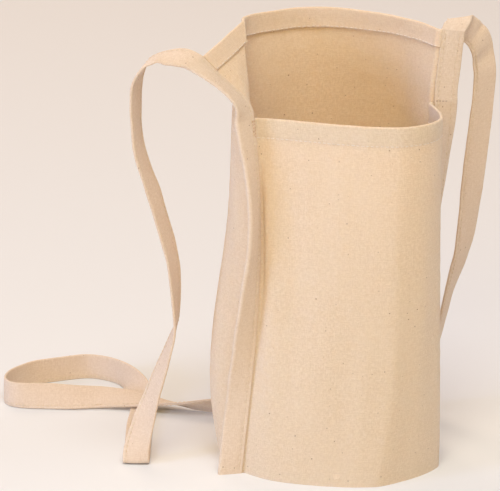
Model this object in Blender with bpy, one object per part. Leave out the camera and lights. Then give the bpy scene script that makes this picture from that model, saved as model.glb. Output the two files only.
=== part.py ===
"""A cotton cup pouch on a neck strap.

The pouch is three pieces of cloth: a front panel, a taller back panel and a base. One cotton tape, folded in
half, binds the side edges of both panels from the table upwards, runs on along the back panel's free edges
and leaves its two corners as the neck strap. Lengths are in millimetres until a mesh is made. X runs from
the left seam to the right one, the front faces -Y, and the origin is on the table between the seams.
"""
import math

import bmesh
import bpy
import numpy as np

MM = 0.001

# Cloth and tape
CLOTH = 0.5              # thickness of the pouch's cloth
CLEARANCE = 0.3          # between pieces that touch, and between folded layers
TAPE = 0.5               # thickness of one layer of the binding tape
BINDING_WIDTH = 12.5     # folded width of the tape where it is sewn on
STRAP_WIDTH = 14.0       # folded width of the free strap
STRAP_THICKNESS = 1.6    # all layers of the free strap, pressed flat
STRAP_START = 0.6        # from the end of a binding to the end of the free strap
TABLE_GAP = 0.1          # least height of the free strap above the table
MOST_SKEW = 0.8          # sine of the steepest angle between the strap's way and a line across it
SEAM_ALLOWANCE = 7.0     # how far the panels reach into the binding

# Pouch
HALF_WIDTH = 53.5        # from the middle to either seam, on the table
FRONT_DEPTH = 43.4       # how far the front bulges from the line of the seams
BACK_DEPTH = 37.0        # the same for the back
FRONT_HEIGHT = 191.0
BACK_HEIGHT = 235.0
HEM_DEPTH = 11.5         # from the top edge to the end of the turned-in hem
TURN_RADIUS = 2.3        # how tightly a panel turns out of the binding
LEAST_TURN = -20         # and through how many degrees
MOST_TURN = 130
TURN_SPREAD = 0.02       # radians added at each step, so that the turn's points never fall together

# Base
BASE_CLOTH = 0.8         # cloth and its pressed seam allowance
BASE_LIP = 7.0           # height of the allowance turned up inside the panels

# How finely the cloth is divided
CURVE_SAMPLES = 400
HELD_COLUMNS = 2         # inside the binding, on either side
PANEL_COLUMNS = 24
WING_COLUMNS = 4         # of those, from the left edge to the back's crease
BODY_ROWS = 17           # from the base's lip to the front's hem
HEM_ROWS = 4
UPPER_ROWS = 6           # from the front's rim to the back's hem
TURN_STEPS = 3
PROBE = 1.0              # step up the cloth for reading its slope

UP = np.array([0.0, 0.0, 1.0])

# The left seam from the table to the rim: share of the height, x and y as shares of half the width, and
# the heading of the binding in degrees, turned from outwards (-X) towards the front.
LEFT_SEAM = [
    (0.00, -1.00, -0.02, -7),
    (0.14, -0.95, -0.05, -20),
    (0.33, -0.90, -0.08, 2),
    (0.50, -0.875, -0.11, 26),
    (0.72, -0.86, -0.11, 50),
    (0.88, -0.87, -0.08, 40),
    (1.00, -0.895, -0.04, 27),
]

# The same on the right: the heading is turned from outwards (+X) towards the back.
RIGHT_SEAM = [
    (0.00, 0.98, -0.02, 55),
    (0.30, 0.97, -0.02, 58),
    (0.60, 0.95, -0.03, 55),
    (0.80, 0.955, -0.04, 30),
    (1.00, 0.968, -0.04, -6),
]

# Above the rim the back panel's free edges lean. Directions along the edge, and of the binding half way up
# and at the top.
LEFT_EDGE_LEAN = (-0.57, 0.26, 0.78)
LEFT_MIDDLE_BINDING = (-0.31, -1.15, 0.03)
LEFT_CORNER_BINDING = (-0.65, -0.58, -0.49)
RIGHT_EDGE_LEAN = (0.10, 0.01, 0.99)
RIGHT_MIDDLE_BINDING = (0.97, -0.10, -0.06)
RIGHT_CORNER_BINDING = (0.94, -0.30, -0.13)
LEFT_EDGE_REACH = 0.92   # length of the free edge as a share of the back's rise above the rim
RIGHT_EDGE_REACH = 0.87

# Plan outlines between the seams, as shares of half the width and of the front's or the back's depth.
FRONT_BASE = [(-0.81, 0.39), (-0.60, 0.62), (-0.38, 0.82), (-0.12, 0.96), (0.16, 1.00), (0.43, 0.93),
              (0.67, 0.80), (0.88, 0.58), (0.965, 0.30)]
FRONT_RIM = [(-0.80, 0.09), (-0.65, 0.22), (-0.50, 0.37), (-0.12, 0.75), (0.16, 0.95), (0.45, 1.04),
             (0.67, 0.96), (0.82, 0.76), (0.895, 0.40)]
BACK_BASE = [(-1.06, 0.20), (-1.09, 0.38), (-1.05, 0.58), (-0.93, 0.77), (-0.73, 0.90), (-0.42, 0.98),
             (-0.10, 1.00), (0.26, 0.99), (0.58, 0.90), (0.82, 0.66), (0.92, 0.34)]
BACK_BELLY = [(-1.08, 0.20), (-1.15, 0.42), (-1.14, 0.64), (-1.00, 0.86), (-0.76, 0.98), (-0.42, 1.04),
              (-0.10, 1.06), (0.26, 1.05), (0.58, 0.96), (0.83, 0.70), (0.92, 0.35)]
BACK_RIM = [(-0.86, 0.11), (-0.895, 0.28), (-0.92, 0.48), (-0.90, 0.72), (-0.80, 0.93), (-0.50, 1.10),
            (-0.15, 1.14), (0.22, 1.12), (0.55, 0.98), (0.79, 0.68), (0.89, 0.32)]
BACK_TOP = [(-0.765, 0.84), (-0.755, 0.90), (-0.74, 0.96), (-0.71, 1.02), (-0.62, 1.12), (-0.42, 1.22),
            (-0.10, 1.24), (0.25, 1.12), (0.55, 0.88), (0.80, 0.56), (0.96, 0.24)]
BELLY_HEIGHT = 30.0      # where the back bulges most above the table
BELLY_END = 120.0        # where that bulge has gone

# How far the back's top edge drops below its full height at each of those points, in millimetres.
TOP_DROP = [0.4, 0.3, 0.2, 0.2, 0.3, 0.5, 0.0, 0.3, 1.8, 3.5, 5.0]

# How far each of them rises straight from the rim: wholly beside the crease, not at all further on.
STRAIGHT_RISE = [1.0, 1.0, 0.8, 0.4, 0.0, 0.0, 0.0, 0.0, 0.0, 0.0, 0.0]

# Above the rim the back panel is creased: a flat wing stands between its left edge and the crease.
CREASE_TOP = (-0.77, 0.80, 0.4)      # shares of half the width and of the back's depth, and the drop
CREASE_START = 5.0                   # from where the cloth leaves the binding to the crease, up to the rim

# The free strap's route: points along its middle, and the direction from its inner edge to its outer one.
# It leaves the left corner, arches over, comes down to the table, runs back under itself, loops round on
# its edge, passes behind the pouch and climbs to the right corner, where it folds over.
STRAP_ROUTE = [
    ((-82, 7.6, 223.4), (-0.46, -0.74, -0.48)),
    ((-94.5, 13, 221.6), (-0.36, -0.93, -0.02)),
    ((-102.5, 19, 206), (-0.64, -0.76, 0.07)),
    ((-101.5, 22, 179), (-0.61, -0.79, -0.08)),
    ((-91, 22, 143), (-0.67, -0.72, -0.16)),
    ((-81.8, 23, 105), (-0.65, -0.75, -0.12)),
    ((-80, 25, 76.5), (-0.42, -0.90, -0.02)),
    ((-82.8, 26, 67), (-0.20, -0.97, -0.06)),
    ((-91, 30, 40), (0.16, -0.97, -0.15)),
    ((-99, 31.2, 14), (0.66, -0.74, -0.09)),
    ((-101.8, 28.6, 5.2), (0.86, -0.50, 0.00)),
    ((-101.8, 28.2, 1.4), (0.92, -0.39, 0.00)),
    ((-100, 33, 0.9), (0.93, -0.36, 0.00)),
    ((-81, 86, 0.9), (0.93, -0.36, 0.00)),
    ((-68.5, 119, 1.7), (0.93, -0.34, 0.14)),
    ((-66.5, 131, 4.4), (0.79, -0.25, 0.56)),
    ((-70, 157, 7.1), (0.02, 0.03, 1.00)),
    ((-86, 174, 7.1), (0.00, 0.00, 1.00)),
    ((-112, 172.5, 7.1), (0.00, 0.00, 1.00)),
    ((-136, 155.5, 7.1), (0.00, 0.00, 1.00)),
    ((-139, 145.5, 7.1), (0.00, 0.00, 1.00)),
    ((-134.5, 137.5, 7.1), (0.00, 0.00, 1.00)),
    ((-103, 125.5, 8.0), (0.04, 0.09, 1.00)),
    ((-75, 118, 8.2), (0.31, 0.80, 0.51)),
    ((-54.5, 103, 5.2), (0.35, 0.90, -0.22)),
    ((-36, 89.5, 4.8), (0.31, 0.80, -0.48)),
    ((8, 76, 1.0), (0.36, 0.93, 0.00)),
    ((50, 64, 2.4), (0.36, 0.93, 0.00)),
    ((64.5, 57.5, 9.5), (0.38, 0.93, 0.00)),
    ((72.5, 51.5, 24), (0.45, 0.89, 0.00)),
    ((78, 38.5, 70), (0.63, 0.77, -0.08)),
    ((82.5, 27, 105), (0.87, 0.48, -0.05)),
    ((83.6, 16, 154), (0.98, 0.17, -0.02)),
    ((84.9, 9.0, 197), (0.97, 0.24, 0.08)),
    ((83.4, 6.8, 210.5), (0.87, 0.20, 0.40)),
    ((78.8, 4.9, 221.9), (0.66, 0.11, 0.74)),
    ((71.7, 3.8, 227.6), (0.66, 0.11, 0.74)),
    ((66.2, 1.4, 232.0), (0.94, -0.10, 0.22)),
    ((65.1, -1.2, 233.8), (0.95, -0.25, 0.10)),
    ((64.0, -2.8, 232.4), (0.95, -0.27, 0.02)),
]

COTTON = (0.80, 0.69, 0.53)
TAPE_COTTON = (0.82, 0.71, 0.56)


# Curves

def unit(v):
    v = np.asarray(v, float)
    return v / np.linalg.norm(v, axis=-1, keepdims=True)


def spline(knots, values, at):
    """Natural cubic spline through the values, read at the given places."""
    knots = np.asarray(knots, float)
    values = np.asarray(values, float)
    at = np.atleast_1d(np.asarray(at, float))
    shape = values.shape[1:]
    flat = values.reshape(len(knots), -1)
    step = np.diff(knots)
    matrix = np.eye(len(knots))
    right = np.zeros_like(flat)
    for i in range(1, len(knots) - 1):
        matrix[i, i - 1:i + 2] = step[i - 1], 2 * (step[i - 1] + step[i]), step[i]
        right[i] = 6 * ((flat[i + 1] - flat[i]) / step[i] - (flat[i] - flat[i - 1]) / step[i - 1])
    bend = np.linalg.solve(matrix, right)
    k = np.clip(np.searchsorted(knots, at, side="right") - 1, 0, len(knots) - 2)
    a = ((knots[k + 1] - at) / step[k])[:, None]
    b = 1 - a
    smooth = ((a ** 3 - a) * bend[k] + (b ** 3 - b) * bend[k + 1]) * step[k][:, None] ** 2 / 6
    return (a * flat[k] + b * flat[k + 1] + smooth).reshape(len(at), *shape)


def steady(knots, values, at):
    """Cubic curve through the values that never swings past them."""
    step = np.diff(knots)[:, None]
    slope = np.diff(values, axis=0) / step
    same_way = slope[1:] * slope[:-1] > 0
    before = np.where(same_way, slope[:-1], 1.0)
    after = np.where(same_way, slope[1:], 1.0)
    near = 2 * step[1:] + step[:-1]
    far = step[1:] + 2 * step[:-1]
    between = np.where(same_way, (near + far) / (near / before + far / after), 0.0)
    rate = np.concatenate([slope[:1], between, slope[-1:]])
    k = np.clip(np.searchsorted(knots, at, side="right") - 1, 0, len(knots) - 2)
    t = (at - knots[k])[:, None] / step[k]
    start = (1 + 2 * t) * (1 - t) ** 2 * values[k] + t * (1 - t) ** 2 * step[k] * rate[k]
    return start + t ** 2 * (3 - 2 * t) * values[k + 1] + t ** 2 * (t - 1) * step[k] * rate[k + 1]


def along(points):
    """Distance along a line of points."""
    steps = np.linalg.norm(np.diff(points, axis=0), axis=1)
    return np.concatenate([[0.0], np.cumsum(steps)])


def resampled(line, count):
    """The same line with its points at even steps."""
    length = along(line)
    targets = np.linspace(0, length[-1], count)
    return np.stack([np.interp(targets, length, line[:, i]) for i in range(line.shape[1])], 1)


def evenly(points, count):
    """A smooth curve through the points, read at even steps."""
    points = np.asarray(points, float)
    knots = along(points)
    return resampled(spline(knots, points, np.linspace(0, knots[-1], CURVE_SAMPLES)), count)


# Seams

def turned(side, degrees):
    """Plan direction of the binding: outwards, turned to the front on the left, to the back on the right."""
    angle = math.radians(degrees)
    if side == "left":
        return np.array([-math.cos(angle), -math.sin(angle), 0.0])
    return np.array([math.cos(angle), math.sin(angle), 0.0])


def seam(side, height):
    """At a height up the cloth: the seam's point, the binding's way out and its way to the front face."""
    left = side == "left"
    stations = LEFT_SEAM if left else RIGHT_SEAM
    share = [s[0] for s in stations]
    plan = [(s[1] * HALF_WIDTH, s[2] * HALF_WIDTH, s[3]) for s in stations]
    x, y, degrees = spline(share, plan, min(height / FRONT_HEIGHT, 1.0))[0]
    point = np.array([x, y, min(height, FRONT_HEIGHT)])
    out = turned(side, degrees)
    axis = UP
    above = share_above(height)
    if above > 0:
        lean = unit(LEFT_EDGE_LEAN if left else RIGHT_EDGE_LEAN)
        middle = np.array(LEFT_MIDDLE_BINDING if left else RIGHT_MIDDLE_BINDING)
        corner = np.array(LEFT_CORNER_BINDING if left else RIGHT_CORNER_BINDING)
        swing = 1 - (1 - above) ** 3
        axis = unit(lean * swing + UP * (1 - swing))
        point = point + axis * (height - FRONT_HEIGHT) * (LEFT_EDGE_REACH if left else RIGHT_EDGE_REACH)
        out = out * (1 - above) ** 2 + middle * 2 * above * (1 - above) + corner * above ** 2
        out = unit(out - axis * (out @ axis))
    front = np.cross(axis, out) if left else np.cross(out, axis)
    return point, out, front


def share_above(height):
    """How far a height is from the front's rim to the back's full height, from 0 to 1."""
    return max(0.0, height - FRONT_HEIGHT) / (BACK_HEIGHT - FRONT_HEIGHT)


def single_layer(height):
    """From 0 where the binding holds both panels to 1 where it holds the back one only."""
    return min(1.0, max(0.0, height - FRONT_HEIGHT) / BINDING_WIDTH)


def layer_offset(height):
    """From the middle of the binding to the middle of a panel's cloth."""
    return (CLOTH + CLEARANCE) / 2 * (1 - single_layer(height))


# Panels

def outline(which, height):
    """Points of a panel's plan outline between the seams, at a height up the cloth."""
    if which == "front":
        share = min(height / FRONT_HEIGHT, 1.0)
        mix = np.array(FRONT_BASE) * (1 - share) + np.array(FRONT_RIM) * share
        depth = -FRONT_DEPTH
    else:
        belly = np.array(BACK_BELLY)
        rim = np.array(BACK_RIM)
        knots = [0.0, BELLY_HEIGHT, BELLY_END, FRONT_HEIGHT, BACK_HEIGHT]
        levels = np.array([BACK_BASE, belly, (belly + rim) / 2, rim, BACK_TOP])
        mix = spline(knots, levels, height)[0]
        if height > FRONT_HEIGHT:
            straight = rim + (np.array(BACK_TOP) - rim) * share_above(height)
            mix = mix + (straight - mix) * np.array(STRAIGHT_RISE)[:, None]
        depth = BACK_DEPTH
    level = np.full(len(mix), float(height))
    if which == "back":
        level -= np.array(TOP_DROP) * share_above(height)
    return np.stack([mix[:, 0] * HALF_WIDTH, mix[:, 1] * depth, level], 1)


def turn(root, out, face, target, offset):
    """The cloth's arc as it leaves the binding: from heading inwards to heading for the panel."""
    start = root + face * offset
    heading = target - start
    angle = math.atan2(heading @ face, -heading @ out)
    angle = min(max(angle, math.radians(LEAST_TURN)), math.radians(MOST_TURN))
    way = math.copysign(1.0, angle)
    points = []
    for i in range(TURN_STEPS + 1):
        a = abs(angle) * i / TURN_STEPS + TURN_SPREAD * i
        points.append(start - out * TURN_RADIUS * math.sin(a) + face * way * TURN_RADIUS * (1 - math.cos(a)))
    return points


def crease_at(height, columns, wing):
    """Where the back's crease is, at a height above the rim."""
    across, back, drop = CREASE_TOP
    top = np.array([across * HALF_WIDTH, back * BACK_DEPTH, BACK_HEIGHT - drop])
    rim = panel_row("back", FRONT_HEIGHT, columns, wing)[HELD_COLUMNS + TURN_STEPS + wing - 1]
    return rim + (top - rim) * share_above(height)


def creased(start, points, end, crease, columns, wing):
    """The back's curve between its seams: the wing as far as the crease, then the wall."""
    if crease is not None:
        flat = np.linspace(start, crease, wing)
        return np.concatenate([flat, evenly([crease] + points + [end], columns - wing + 1)[1:]])
    curve = evenly([start] + points + [end], CURVE_SAMPLES)
    split = int(np.searchsorted(along(curve), CREASE_START))
    near, far = curve[:split + 1], curve[split:]
    return np.concatenate([resampled(near, wing), resampled(far, columns - wing + 1)[1:]])


def panel_row(which, height, columns=PANEL_COLUMNS, wing=WING_COLUMNS):
    """Middle of the cloth at one height: out of the left binding, along the panel, into the right one."""
    points = list(outline(which, height))
    offset = layer_offset(height)
    crease = None
    if which == "back" and height > FRONT_HEIGHT:
        crease = crease_at(height, columns, wing)
    rows = []
    for side, target in (("left", points[0] if crease is None else crease), ("right", points[-1])):
        root, out, front = seam(side, height)
        face = front if which == "front" else -front
        held = root + face * offset
        bend = turn(root, out, face, target, offset)
        rows.append(([held + out * SEAM_ALLOWANCE, held + out * SEAM_ALLOWANCE / 2], bend))
    (left_held, left_bend), (right_held, right_bend) = rows
    if which == "back" and wing > 0:
        curve = creased(left_bend[-1], points, right_bend[-1], crease, columns, wing)
    else:
        curve = evenly([left_bend[-1]] + points + [right_bend[-1]], columns)
    row = left_held + left_bend[:-1] + list(curve) + right_bend[:-1][::-1] + right_held[::-1]
    return np.array(row)


def inward(grid, which):
    """Unit normals into the pouch for a grid of points, rows going up."""
    along_row = np.gradient(grid, axis=1)
    up_column = np.gradient(grid, axis=0)
    normal = np.cross(along_row, up_column)
    return unit(normal) * (-1.0 if which == "front" else 1.0)


def hem_fold_radius():
    """Outer radius of the fold over a hem: the wall, the gap and the hem's two layers share it."""
    return (3 * CLOTH + CLEARANCE) / 2


def levels(which):
    """Heights of a panel's rows: up to its hem, and of the hem. Both panels share the lower ones."""
    full_height = FRONT_HEIGHT if which == "front" else BACK_HEIGHT
    body = [0.0] + list(np.linspace(BASE_LIP, FRONT_HEIGHT - HEM_DEPTH, BODY_ROWS))
    if which == "back":
        hem_end = BACK_HEIGHT - HEM_DEPTH
        body += list(np.linspace(FRONT_HEIGHT - HEM_DEPTH, FRONT_HEIGHT - hem_fold_radius(), HEM_ROWS))[1:]
        body += list(np.linspace(FRONT_HEIGHT - hem_fold_radius(), hem_end, UPPER_ROWS))[1:]
    hem = list(np.linspace(full_height - HEM_DEPTH, full_height - hem_fold_radius(), HEM_ROWS))
    return body[:-1], hem


class Shell:
    """Collects points and faces, then makes one object of them."""

    def __init__(self):
        self.points = []
        self.faces = []

    def add(self, points):
        """Adds points and returns their indices."""
        first = len(self.points)
        self.points += [tuple(float(c) * MM for c in p) for p in points]
        return list(range(first, first + len(points)))

    def bridge(self, one, other, closed=False, slants=None):
        """Triangles between two equal lines of indices. Slants say which way each pair is cut."""
        count = len(one) if closed else len(one) - 1
        for i in range(count):
            j = (i + 1) % len(one)
            if slants is None or slants[i]:
                self.faces += [(one[i], one[j], other[j]), (one[i], other[j], other[i])]
            else:
                self.faces += [(one[i], one[j], other[i]), (one[j], other[j], other[i])]

    def cap(self, indices):
        self.faces.append(tuple(indices))

    def make(self, name, material):
        mesh = bpy.data.meshes.new(name)
        bm = bmesh.new()
        verts = [bm.verts.new(p) for p in self.points]
        for face in self.faces:
            bm.faces.new([verts[i] for i in face])
        bmesh.ops.recalc_face_normals(bm, faces=bm.faces)
        bm.to_mesh(mesh)
        bm.free()
        mesh.shade_smooth()
        mesh.set_sharp_from_angle(angle=math.radians(40))
        mesh.materials.append(material)
        obj = bpy.data.objects.new(name, mesh)
        bpy.context.scene.collection.objects.link(obj)
        return obj


def panel_slants(columns):
    """Triangles rise outwards, as the binding's do, so twisted cloth stays clear of the tape round it."""
    return [i >= columns // 2 for i in range(columns - 1)]


def panel(name, which, material):
    """One panel of cloth with its top edge turned in as a hem of two layers."""
    hem_gap = CLOTH / 2 + CLEARANCE
    hem_face = hem_gap + 2 * CLOTH
    fold_radius = hem_fold_radius()
    fold_middle = hem_face - fold_radius
    body, hem = levels(which)
    heights = body + hem
    grid = np.array([panel_row(which, h) for h in heights])
    normal = inward(grid, which)
    shell = Shell()
    outer = [shell.add(row) for row in grid - normal * CLOTH / 2]
    inner = [shell.add(row) for row in grid + normal * CLOTH / 2]
    slants = panel_slants(grid.shape[1])
    for k in range(len(heights) - 1):
        shell.bridge(outer[k], outer[k + 1], slants=slants)
        shell.bridge(inner[k], inner[k + 1], slants=slants)
        shell.bridge([outer[k][0], outer[k + 1][0]], [inner[k][0], inner[k + 1][0]])
        shell.bridge([outer[k][-1], outer[k + 1][-1]], [inner[k][-1], inner[k + 1][-1]])
    shell.bridge(outer[0], inner[0])

    first = HELD_COLUMNS + TURN_STEPS + 1
    last = grid.shape[1] - first
    shell.bridge(outer[-1][:first + 1], inner[-1][:first + 1])
    shell.bridge(outer[-1][last - 1:], inner[-1][last - 1:])
    part = slice(first, last)
    hem_rows = range(len(body), len(heights))
    rise = unit(grid[-1] - grid[-2])
    lines = [outer[-1][part]]
    for degrees in (45, 90, 135):
        a = math.radians(degrees)
        shift = normal[-1] * (fold_middle - fold_radius * math.cos(a)) + rise * fold_radius * math.sin(a)
        lines.append(shell.add((grid[-1] + shift)[part]))
    faces_down = [shell.add((grid[k] + normal[k] * hem_face)[part]) for k in reversed(hem_rows)]
    faces_up = [shell.add((grid[k] + normal[k] * hem_gap)[part]) for k in hem_rows]
    lines += faces_down + faces_up + [inner[-1][part]]
    for one, other in zip(lines, lines[1:]):
        shell.bridge(one, other, slants=slants[part])
    for end in (0, -1):
        shell.cap([line[end] for line in lines[:4]] + [faces_down[0][end], faces_up[-1][end], lines[-1][end]])
        for k in range(len(faces_up) - 1):
            low, high = len(faces_up) - 1 - k, len(faces_up) - 2 - k
            shell.cap([faces_up[k][end], faces_up[k + 1][end], faces_down[high][end], faces_down[low][end]])
    return shell.make(name, material)


# Base

def base_ring(height, inset):
    """The pouch's inside outline at a height, set in from the panels and cut across at the seams."""
    skip = HELD_COLUMNS + TURN_STEPS + 3
    inside = CLOTH / 2 + CLEARANCE + inset
    ring = []
    for which in ("front", "back"):
        grid = np.array([panel_row(which, h, wing=0) for h in (height, height + PROBE)])
        row = (grid + inward(grid, which) * inside)[0][skip:-skip]
        row[:, 2] = height
        ring.append(row if which == "front" else row[::-1])
    corners = []
    for side, way in (("right", -1.0), ("left", 1.0)):
        root = seam(side, height)[0]
        corners.append(root[None] + np.array([way * (3 * TURN_RADIUS + inside), 0.0, 0.0]))
    return np.concatenate([ring[0], corners[0], ring[1], corners[1]])


def base(material):
    """A shallow tray: the floor and its seam allowance turned up inside the panels."""
    shell = Shell()
    outside = [shell.add(base_ring(h, 0.0)) for h in (0.0, BASE_LIP)]
    inside = [shell.add(base_ring(h, BASE_CLOTH)) for h in (BASE_LIP, BASE_CLOTH)]
    loops = outside + inside
    for one, other in zip(loops, loops[1:]):
        shell.bridge(one, other, closed=True)
    for loop, height in ((outside[0], 0.0), (inside[-1], BASE_CLOTH)):
        middle = np.mean([shell.points[i] for i in loop], axis=0) / MM
        hub = shell.add([(middle[0], middle[1], height)])[0]
        for i in range(len(loop)):
            shell.cap([loop[i], loop[(i + 1) % len(loop)], hub])
    return shell.make("base_panel", material)


# Bindings

def binding_profile(height):
    """The folded tape's section as distances out from the seam and towards the front face."""
    both = (2 * CLOTH + 3 * CLEARANCE) / 2
    single = (CLOTH + 2 * CLEARANCE) / 2
    slot = both + (single - both) * single_layer(height)
    half = slot + TAPE
    bend = BINDING_WIDTH - half
    arc = [math.radians(a) for a in (90, 45, 0, -45, -90)]
    steps = (0.0, SEAM_ALLOWANCE / 2, SEAM_ALLOWANCE)
    outside = [(step, half) for step in steps]
    outside += [(bend + half * math.cos(a), half * math.sin(a)) for a in arc]
    outside += [(step, -half) for step in steps[::-1]]
    inside = [(step, -slot) for step in steps]
    inside += [(bend + slot * math.cos(a), slot * math.sin(a)) for a in arc[::-1]]
    inside += [(step, slot) for step in steps[::-1]]
    return outside + inside


def binding(name, side, material):
    """The tape folded round the panels' edges, from the table to the back panel's corner."""
    shell = Shell()
    loops = []
    body, hem = levels("back")
    for height in body + hem + [BACK_HEIGHT]:
        root, out, front = seam(side, height)
        loops.append(shell.add([root + out * o + front * f for o, f in binding_profile(height)]))
    profile = binding_profile(BACK_HEIGHT)
    slants = [after[0] > here[0] for here, after in zip(profile, profile[1:] + profile[:1])]
    for one, other in zip(loops, loops[1:]):
        shell.bridge(one, other, closed=True, slants=slants)
    half_count = len(loops[0]) // 2
    for loop in (loops[0], loops[-1]):
        outside, inside = loop[:half_count], loop[half_count:][::-1]
        shell.bridge(outside, inside)
    return shell.make(name, material)


# Strap

def strap_stations():
    """The strap's middle, the way across it and its facing, at the route's points and between."""
    ends = []
    for side in ("left", "right"):
        root, out, front = seam(side, BACK_HEIGHT)
        away = unit(root - seam(side, BACK_HEIGHT - PROBE)[0])
        ends.append((root + out * BINDING_WIDTH / 2 + away * STRAP_START, out))
    route = [ends[0]] + STRAP_ROUTE + [ends[1]]
    points = np.array([r[0] for r in route], float)
    widths = unit(np.array([r[1] for r in route], float))
    knots = along(points)
    at = np.sort(np.concatenate([knots, (knots[1:] + knots[:-1]) / 2]))
    middle = steady(knots, points, at)
    nudge = 0.05
    tangent = unit(steady(knots, points, at + nudge) - steady(knots, points, at - nudge))
    across = unit(steady(knots, widths, at))
    facing = np.cross(tangent, across)
    sine = np.linalg.norm(facing, axis=1, keepdims=True)
    across = across / np.maximum(sine, MOST_SKEW)
    facing = facing / sine
    depth = np.abs(across[:, 2]) * STRAP_WIDTH / 2 + np.abs(facing[:, 2]) * STRAP_THICKNESS / 2
    middle[:, 2] = np.maximum(middle[:, 2], depth + TABLE_GAP)
    return middle, across, facing


def strap(material):
    """The free tape: a flat ribbon with rounded edges along its route."""
    middle, across, facing = strap_stations()
    half, thick, round_off = STRAP_WIDTH / 2, STRAP_THICKNESS / 2, STRAP_THICKNESS / 3
    section = [(-half, -thick + round_off), (-half + round_off, -thick), (half - round_off, -thick),
               (half, -thick + round_off), (half, thick - round_off), (half - round_off, thick),
               (-half + round_off, thick), (-half, thick - round_off)]
    shell = Shell()
    loops = []
    for point, wide, face in zip(middle, across, facing):
        loops.append(shell.add([point + wide * a + face * b for a, b in section]))
    for one, other in zip(loops, loops[1:]):
        shell.bridge(one, other, closed=True)
    shell.cap(loops[0])
    shell.cap(loops[-1])
    print(f"free strap length {along(middle)[-1]:.0f} mm")
    return shell.make("neck_strap", material)


def material(name, colour):
    mat = bpy.data.materials.new(name)
    mat.use_nodes = True
    shader = mat.node_tree.nodes["Principled BSDF"]
    shader.inputs["Base Color"].default_value = (*colour, 1.0)
    shader.inputs["Roughness"].default_value = 0.9
    shader.inputs["Metallic"].default_value = 0.0
    return mat


def main():
    for obj in list(bpy.data.objects):
        bpy.data.objects.remove(obj)
    panel("front_panel", "front", material("front_cotton", COTTON))
    panel("back_panel", "back", material("back_cotton", COTTON))
    base(material("base_cotton", COTTON))
    binding("left_side_binding", "left", material("left_binding_cotton", TAPE_COTTON))
    binding("right_side_binding", "right", material("right_binding_cotton", TAPE_COTTON))
    strap(material("strap_cotton", TAPE_COTTON))


main()
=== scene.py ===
"""The visible cup pouch: woven cotton panels, folded tape, thread, light and camera.

The shapes repeat the part's own driving sizes, in millimetres until a mesh is made, and are divided finely
enough for folds, puckers and single stitches.
"""
import functools
import math

import bmesh
import bpy
import numpy as np
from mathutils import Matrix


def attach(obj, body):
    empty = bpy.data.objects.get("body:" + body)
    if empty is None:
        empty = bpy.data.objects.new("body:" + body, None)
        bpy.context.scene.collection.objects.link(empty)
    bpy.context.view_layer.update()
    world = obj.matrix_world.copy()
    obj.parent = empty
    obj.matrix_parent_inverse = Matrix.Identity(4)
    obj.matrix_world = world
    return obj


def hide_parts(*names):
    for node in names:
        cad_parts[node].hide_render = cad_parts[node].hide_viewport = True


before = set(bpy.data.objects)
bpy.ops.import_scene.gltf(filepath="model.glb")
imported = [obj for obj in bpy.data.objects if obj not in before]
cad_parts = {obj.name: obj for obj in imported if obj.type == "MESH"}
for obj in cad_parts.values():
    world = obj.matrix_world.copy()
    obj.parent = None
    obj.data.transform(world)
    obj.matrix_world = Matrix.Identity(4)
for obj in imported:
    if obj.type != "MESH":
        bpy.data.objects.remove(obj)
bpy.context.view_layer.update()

MM = 0.001

# Cloth and tape
CLOTH = 0.5              # thickness
CLEARANCE = 0.3          # between two layers in a binding
TAPE = 0.5
BINDING_WIDTH = 12.5
STRAP_WIDTH = 14.0
STRAP_THICKNESS = 1.4
STRAP_END_BLEND = 9.0    # length over which the free tape thins out from the bindings
TABLE_GAP = 0.1          # least gap between the table and the flat strap
LEAST_HEIGHT = 0.05      # of any of the strap's points, once it is rumpled
LEAST_SINE = 0.8         # of the strap's skew; its width is divided by the sine, or at least by this
SEAM_ALLOWANCE = 7.0     # of a panel, inside the binding

# Pouch
HALF_WIDTH = 53.5
FRONT_DEPTH = 43.4
BACK_DEPTH = 37.0
FRONT_HEIGHT = 191.0
BACK_HEIGHT = 235.0
FULL_HEIGHT = {"front": FRONT_HEIGHT, "back": BACK_HEIGHT}
HEM_DEPTH = 11.5
HEM_SLACK = 0.12         # between a panel and the hem behind it
HEM_FOLD = (3 * CLOTH + CLEARANCE) / 2    # room for the fold, above a panel's last row
TURN_RADIUS = 2.3        # of a panel, as it turns out of the binding
LEAST_TURN = -20         # degrees through which a panel turns out of the binding
MOST_TURN = 130
TURN_SPREAD = 0.02       # radians added at each step, so that the turn's points never fall together
BASE_CLOTH = 0.8
BASE_LIP = 7.0           # height to which the base is turned up

# How finely the cloth is divided
CURVE_SAMPLES = 400
HELD_COLUMNS = 2         # inside the binding, on either side
PANEL_COLUMNS = 110
WING_COLUMNS = 22        # of those, from the left edge to the back's crease
HEM_COLUMNS_LESS = {"front": 3, "back": 2}    # that the hem leaves out at either end
BASE_COLUMNS = 60        # of a panel's row, for the base's outline
BASE_COLUMNS_LESS = 5    # that it leaves out beside each turn
ROW_STEP = 1.6           # height of a panel's rows
TURN_STEPS = 6
PROBE = 1.0              # up to the second row that gives a single one its normals
SHARP_ANGLE = 50         # degrees between two faces
STRAP_STEP = 1.4         # from one section of the strap to the next
STRAP_SMOOTHINGS = 14
BINDING_SPOTS = 180      # read along a binding for its thread
TACK_SPOTS = 12

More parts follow.
